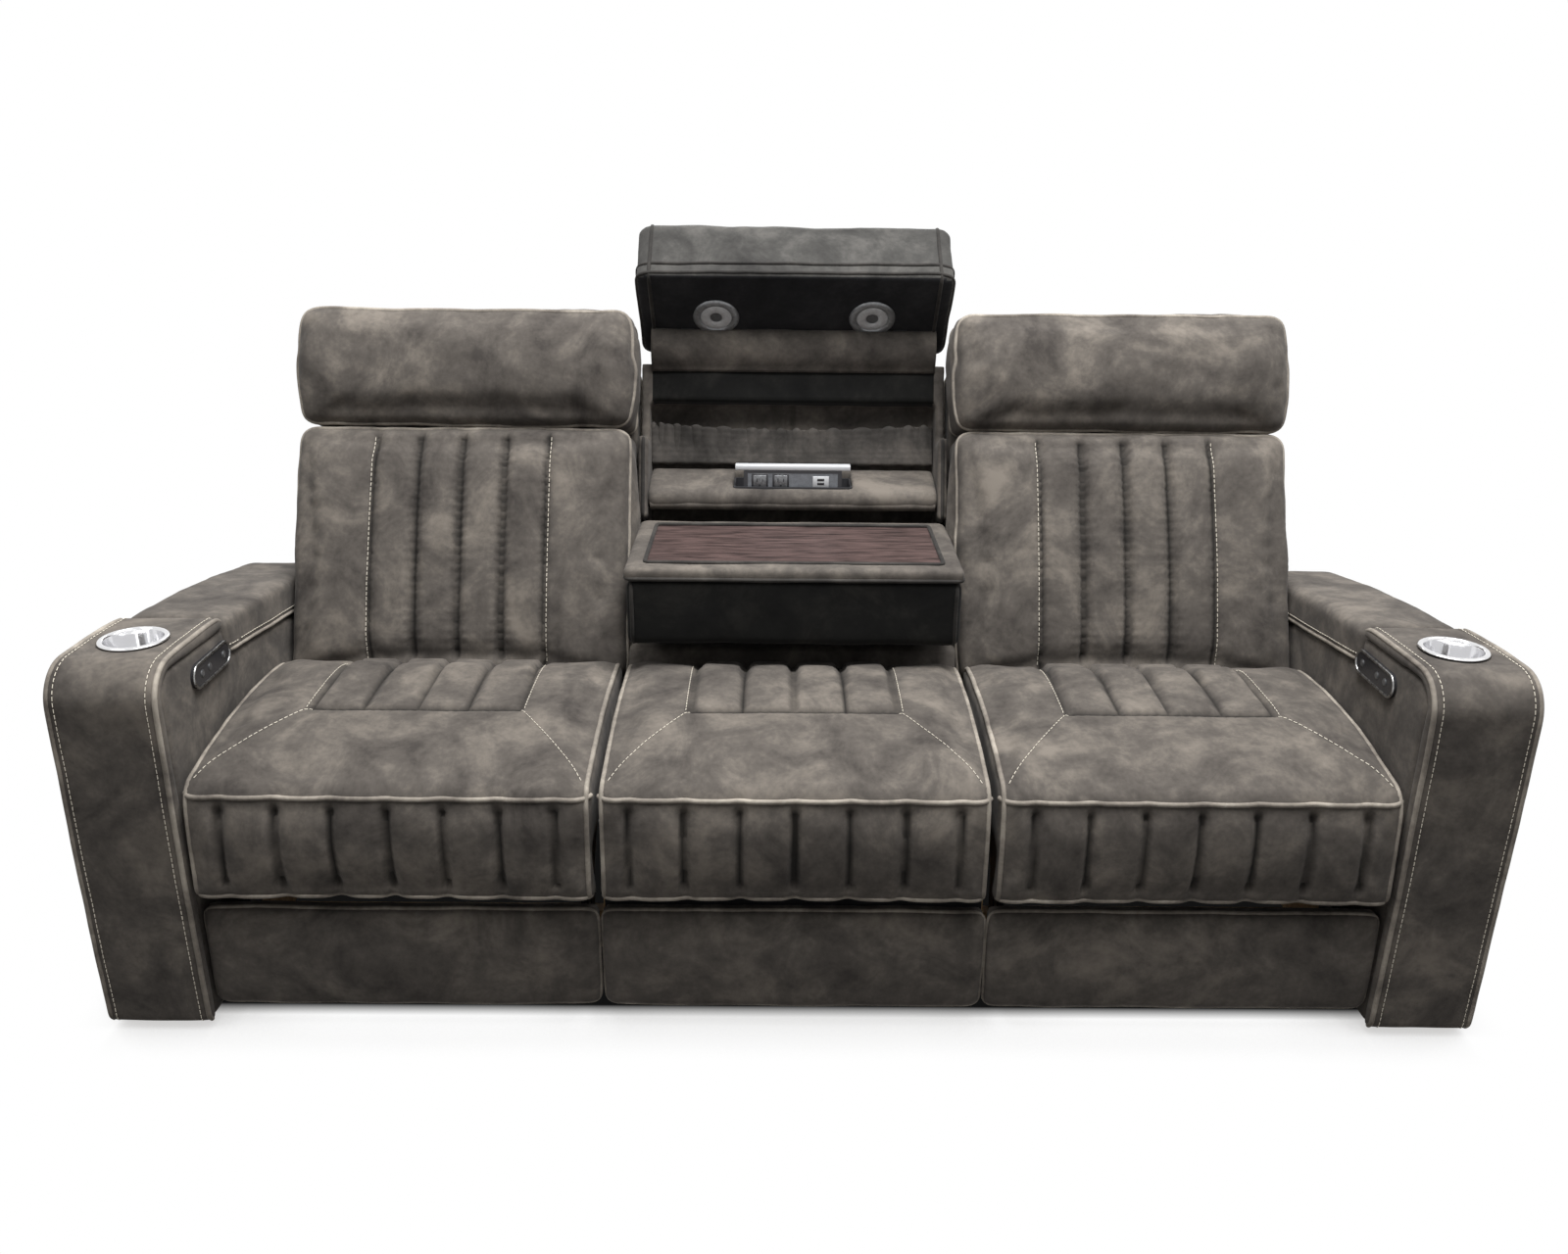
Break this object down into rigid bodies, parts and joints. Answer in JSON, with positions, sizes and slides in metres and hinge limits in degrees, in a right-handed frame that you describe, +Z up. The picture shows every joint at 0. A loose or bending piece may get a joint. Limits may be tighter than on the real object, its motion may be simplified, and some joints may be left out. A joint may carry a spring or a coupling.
{
  "type": "reclining sofa",
  "caption": "Three-seat reclining sofa with a drop-down centre console and table, flip-up headrest with lights, storage arms, cup holders and padded footrests.",
  "frame": {"origin": "on the floor under the middle of the whole sofa", "axes": "+Z up, the seats face -Y, +X to the right as seen from the front"},
  "size_m": [2.236, 1.0313, 1.2222],
  "materials": {
    "upholstery": "dark grey suede-like, mottled",
    "timber": "plain hardwood",
    "black_steel": "satin black",
    "cup_steel": "polished",
    "laminate": "dark reddish-brown grain",
    "black_plastic": "satin",
    "gloss_black": "gloss",
    "dock_face": "satin",
    "silver_plastic": "satin silver",
    "webbing": "woven elastic",
    "glide_plastic": "plain"
  },
  "bodies": {
    "root": {"base_frame": "timber", "floor_glides": "glide_plastic", "arm_frame_left": "upholstery", "arm_frame_right": "upholstery", "arm_band_left": "upholstery", "arm_band_right": "upholstery", "cup_holder_left": "cup_steel", "cup_holder_right": "cup_steel", "control_panel_left": "gloss_black", "control_panel_right": "gloss_black", "centre_seat": "upholstery", "centre_front_panel": "upholstery", "niche_frame": "upholstery", "niche_pocket": "upholstery", "console_shelf": "upholstery", "dock_housing": "black_plastic", "steel_brackets": "black_steel"},
    "power_dock": {"power_dock": "silver_plastic", "dock_sockets": "dock_face"},
    "console": {"console_back": "upholstery", "console_table": "upholstery", "table_laminate": "laminate", "console_hinge_arms": "black_steel"},
    "centre_headrest": {"centre_headrest": "upholstery", "headrest_arms": "black_steel", "reading_lights": "silver_plastic"},
    "arm_lid_left": {"arm_lid_left": "upholstery"},
    "open_key_left": {"open_key_left": "silver_plastic"},
    "close_key_left": {"close_key_left": "silver_plastic"},
    "home_key_left": {"home_key_left": "silver_plastic"},
    "light_button_left": {"light_button_left": "silver_plastic"},
    "seat_left": {"seat_frame_left": "black_steel", "seat_webbing_left": "webbing", "seat_cushion_left": "upholstery", "gear_motor_left": "black_plastic"},
    "back_left": {"back_frame_left": "upholstery", "back_cushion_left": "upholstery"},
    "headrest_left": {"headrest_left": "upholstery"},
    "rear_links_left": {"rear_links_left": "black_steel"},
    "cross_links_left": {"cross_links_left": "black_steel"},
    "front_cross_left": {"front_cross_left": "black_steel"},
    "footrest_left": {"footrest_links_left": "black_steel", "footrest_left": "upholstery"},
    "arm_lid_right": {"arm_lid_right": "upholstery"},
    "open_key_right": {"open_key_right": "silver_plastic"},
    "close_key_right": {"close_key_right": "silver_plastic"},
    "home_key_right": {"home_key_right": "silver_plastic"},
    "light_button_right": {"light_button_right": "silver_plastic"},
    "seat_right": {"seat_frame_right": "black_steel", "seat_webbing_right": "webbing", "seat_cushion_right": "upholstery", "gear_motor_right": "black_plastic"},
    "back_right": {"back_frame_right": "upholstery", "back_cushion_right": "upholstery"},
    "headrest_right": {"headrest_right": "upholstery"},
    "rear_links_right": {"rear_links_right": "black_steel"},
    "cross_links_right": {"cross_links_right": "black_steel"},
    "front_cross_right": {"front_cross_right": "black_steel"},
    "footrest_right": {"footrest_links_right": "black_steel", "footrest_right": "upholstery"}
  },
  "joints": [
    {"name": "dock_flip", "type": "hinge", "parent": "root", "child": "power_dock", "pos_m": [0, 0.256, 0.7214], "axis": [-1, 0, 0], "range_deg": [0, 90]},
    {"name": "console_fold", "type": "hinge", "parent": "root", "child": "console", "pos_m": [0, 0.11818, 0.61728], "axis": [-1, 0, 0], "range_deg": [0, 110]},
    {"name": "headrest_raise", "type": "hinge", "parent": "root", "child": "centre_headrest", "pos_m": [0, 0.37844, 0.99026], "axis": [1, 0, 0], "range_deg": [0, 121]},
    {"name": "lid_left", "type": "hinge", "parent": "root", "child": "arm_lid_left", "pos_m": [-1.118, -0.258, 0.56242], "axis": [0, -0.9936, 0.1133], "range_deg": [0, 85]},
    {"name": "open_key_left_press", "type": "slide", "parent": "root", "child": "open_key_left", "axis": [-1, 0, 0], "range_m": [0, 0.0015], "stiffness_N_per_m": 300, "springref_m": -0.002},
    {"name": "close_key_left_press", "type": "slide", "parent": "root", "child": "close_key_left", "axis": [-1, 0, 0], "range_m": [0, 0.0015], "stiffness_N_per_m": 300, "springref_m": -0.002},
    {"name": "home_key_left_press", "type": "slide", "parent": "root", "child": "home_key_left", "axis": [-1, 0, 0], "range_m": [0, 0.0015], "stiffness_N_per_m": 300, "springref_m": -0.002},
    {"name": "light_button_left_press", "type": "slide", "parent": "centre_headrest", "child": "light_button_left", "axis": [0, 0.7771, 0.6293], "range_m": [0, 0.0015], "stiffness_N_per_m": 300, "springref_m": -0.002},
    {"name": "seat_slide_left", "type": "slide", "parent": "root", "child": "seat_left", "axis": [0, -1, 0], "range_m": [0, 0.06]},
    {"name": "back_recline_left", "type": "hinge", "parent": "seat_left", "child": "back_left", "pos_m": [-0.6285, 0.016, 0.33], "axis": [-1, 0, 0], "range_deg": [0, 35]},
    {"name": "headrest_tilt_left", "type": "hinge", "parent": "back_left", "child": "headrest_left", "pos_m": [-0.6285, 0.16328, 0.86691], "axis": [1, 0, 0], "range_deg": [0, 30]},
    {"name": "footrest_drive_left", "type": "hinge", "parent": "seat_left", "child": "rear_links_left", "pos_m": [-0.6285, -0.381, 0.216], "axis": [-1, 0, 0], "range_deg": [0, 76]},
    {"name": "cross_turn_left", "type": "hinge", "parent": "rear_links_left", "child": "cross_links_left", "pos_m": [-0.6285, -0.40075, 0.12308], "axis": [-1, 0, 0], "range_deg": [-152.5, 0]},
    {"name": "front_turn_left", "type": "hinge", "parent": "rear_links_left", "child": "front_cross_left", "pos_m": [-0.6285, -0.4205, 0.03015], "axis": [-1, 0, 0], "range_deg": [-152.5, 0]},
    {"name": "footrest_turn_left", "type": "hinge", "parent": "cross_links_left", "child": "footrest_left", "pos_m": [-0.6285, -0.40075, 0.21808], "axis": [-1, 0, 0], "range_deg": [0, 152.5]},
    {"name": "lid_right", "type": "hinge", "parent": "root", "child": "arm_lid_right", "pos_m": [1.118, -0.258, 0.56242], "axis": [0, 0.9936, -0.1133], "range_deg": [0, 85]},
    {"name": "open_key_right_press", "type": "slide", "parent": "root", "child": "open_key_right", "axis": [1, 0, 0], "range_m": [0, 0.0015], "stiffness_N_per_m": 300, "springref_m": -0.002},
    {"name": "close_key_right_press", "type": "slide", "parent": "root", "child": "close_key_right", "axis": [1, 0, 0], "range_m": [0, 0.0015], "stiffness_N_per_m": 300, "springref_m": -0.002},
    {"name": "home_key_right_press", "type": "slide", "parent": "root", "child": "home_key_right", "axis": [1, 0, 0], "range_m": [0, 0.0015], "stiffness_N_per_m": 300, "springref_m": -0.002},
    {"name": "light_button_right_press", "type": "slide", "parent": "centre_headrest", "child": "light_button_right", "axis": [0, 0.7771, 0.6293], "range_m": [0, 0.0015], "stiffness_N_per_m": 300, "springref_m": -0.002},
    {"name": "seat_slide_right", "type": "slide", "parent": "root", "child": "seat_right", "axis": [0, -1, 0], "range_m": [0, 0.06]},
    {"name": "back_recline_right", "type": "hinge", "parent": "seat_right", "child": "back_right", "pos_m": [0.6285, 0.016, 0.33], "axis": [-1, 0, 0], "range_deg": [0, 35]},
    {"name": "headrest_tilt_right", "type": "hinge", "parent": "back_right", "child": "headrest_right", "pos_m": [0.6285, 0.16328, 0.86691], "axis": [1, 0, 0], "range_deg": [0, 30]},
    {"name": "footrest_drive_right", "type": "hinge", "parent": "seat_right", "child": "rear_links_right", "pos_m": [0.6285, -0.381, 0.216], "axis": [-1, 0, 0], "range_deg": [0, 76]},
    {"name": "cross_turn_right", "type": "hinge", "parent": "rear_links_right", "child": "cross_links_right", "pos_m": [0.6285, -0.40075, 0.12308], "axis": [-1, 0, 0], "range_deg": [-152.5, 0]},
    {"name": "front_turn_right", "type": "hinge", "parent": "rear_links_right", "child": "front_cross_right", "pos_m": [0.6285, -0.4205, 0.03015], "axis": [-1, 0, 0], "range_deg": [-152.5, 0]},
    {"name": "footrest_turn_right", "type": "hinge", "parent": "cross_links_right", "child": "footrest_right", "pos_m": [0.6285, -0.40075, 0.21808], "axis": [-1, 0, 0], "range_deg": [0, 152.5]}
  ],
  "couplings": [
    {"joint": "seat_slide_left", "follows": "back_recline_left", "m_per_rad": 0.098},
    {"joint": "cross_turn_left", "follows": "footrest_drive_left", "ratio": -2},
    {"joint": "front_turn_left", "follows": "footrest_drive_left", "ratio": -2},
    {"joint": "footrest_turn_left", "follows": "footrest_drive_left", "ratio": 2},
    {"joint": "seat_slide_right", "follows": "back_recline_right", "m_per_rad": 0.098},
    {"joint": "cross_turn_right", "follows": "footrest_drive_right", "ratio": -2},
    {"joint": "front_turn_right", "follows": "footrest_drive_right", "ratio": -2},
    {"joint": "footrest_turn_right", "follows": "footrest_drive_right", "ratio": 2}
  ]
}
